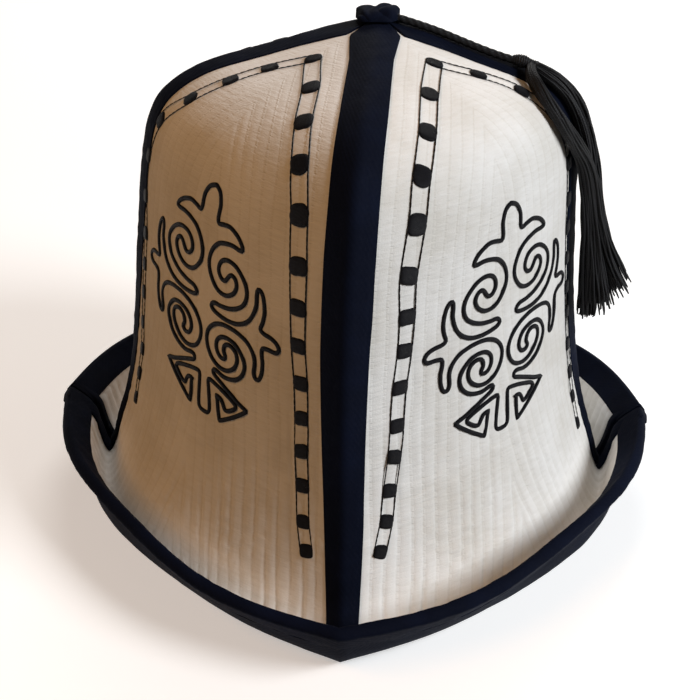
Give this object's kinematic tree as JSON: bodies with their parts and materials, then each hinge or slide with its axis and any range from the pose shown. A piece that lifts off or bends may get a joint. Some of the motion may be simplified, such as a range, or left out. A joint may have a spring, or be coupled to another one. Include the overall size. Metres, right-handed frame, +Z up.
{
  "type": "felt kalpak hat",
  "caption": "Tall felt hat of four panels with a turned-up brim, black bands over the seams, black bound edges and a tassel at the top.",
  "frame": {"origin": "on the surface that the hat stands on, under the middle of the brim", "axes": "+Z up through the crown; -Y towards the front seam; +X towards the side seam that the tassel hangs beside"},
  "size_m": [0.2637, 0.2974, 0.2046],
  "materials": {
    "felt_white": "matt quilted felt",
    "cloth_black": "soft velvet-like cloth with a faint sheen",
    "yarn_black": "smooth twisted yarn"
  },
  "bodies": {
    "root": {"panel_front_left": "felt_white", "panel_front_right": "felt_white", "panel_rear_left": "felt_white", "panel_rear_right": "felt_white", "seam_band_front": "cloth_black", "seam_band_rear": "cloth_black", "seam_band_left": "cloth_black", "seam_band_right": "cloth_black", "brim_facing_front": "cloth_black", "brim_facing_rear": "cloth_black", "brim_binding_front": "cloth_black", "brim_binding_rear": "cloth_black", "crown_knot": "cloth_black", "tassel_cord": "yarn_black", "tassel": "yarn_black"}
  },
  "joints": []
}
